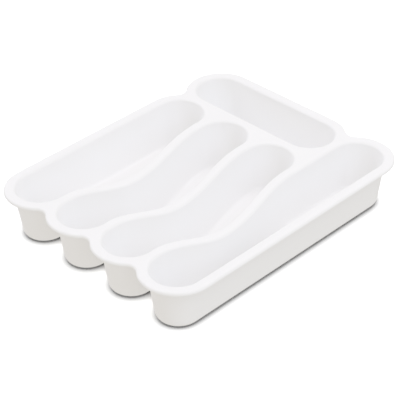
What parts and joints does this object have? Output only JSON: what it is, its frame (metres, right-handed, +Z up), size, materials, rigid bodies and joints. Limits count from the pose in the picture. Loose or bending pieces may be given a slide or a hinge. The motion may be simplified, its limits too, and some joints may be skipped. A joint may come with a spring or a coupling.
{
  "type": "drawer organizer insert",
  "caption": "White moulded drawer tray with waved fore-and-aft cutlery lanes, a cross compartment at the back, a flat flanged rim and low non-slip feet.",
  "frame": {"origin": "under the middle of the tray, on the surface that its feet stand on", "axes": "+Z up out of the compartments, +Y towards the back of the drawer, where the cross compartment is, +X to the side of the long lane"},
  "size_m": [0.292, 0.3592, 0.0586],
  "materials": {
    "tray_plastic": "satin white polypropylene",
    "foot_elastomer": "matte grey elastomer"
  },
  "bodies": {
    "root": {"tray": "tray_plastic", "foot_front_left": "foot_elastomer", "foot_front_mid_left": "foot_elastomer", "foot_front_mid_right": "foot_elastomer", "foot_front_right": "foot_elastomer", "foot_back_right": "foot_elastomer", "foot_back_middle": "foot_elastomer", "foot_back_left": "foot_elastomer"}
  },
  "joints": []
}
